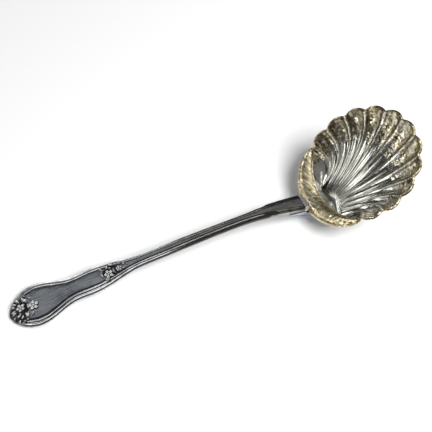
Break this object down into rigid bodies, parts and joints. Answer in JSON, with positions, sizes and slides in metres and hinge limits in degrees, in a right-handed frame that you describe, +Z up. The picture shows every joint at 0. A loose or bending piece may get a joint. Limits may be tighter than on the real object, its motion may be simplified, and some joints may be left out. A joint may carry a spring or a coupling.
{
  "type": "sugar spoon",
  "caption": "Shell-bowled silver serving spoon for sugar: a deep fluted bowl with a rolled lip, soldered to a slender fiddle handle with a threaded border and flower sprays.",
  "frame": {"origin": "middle of the bounding box's underside, on the surface the spoon lies on", "axes": "+X from the handle's tip towards the bowl, +Y sideways, +Z up as the spoon lies on a table"},
  "size_m": [0.171, 0.0512, 0.0379],
  "materials": {
    "aged_silver": "polished and worn, dark in the grooves",
    "worn_gilt": "gilt at the rim, worn to silver in the middle",
    "silver_solder": "satin"
  },
  "bodies": {
    "root": {"shell_bowl": "worn_gilt", "handle": "aged_silver", "heel_strap": "aged_silver", "heel_solder": "silver_solder", "strap_solder": "silver_solder", "tip_spray": "aged_silver", "shoulder_spray": "aged_silver"}
  },
  "joints": []
}
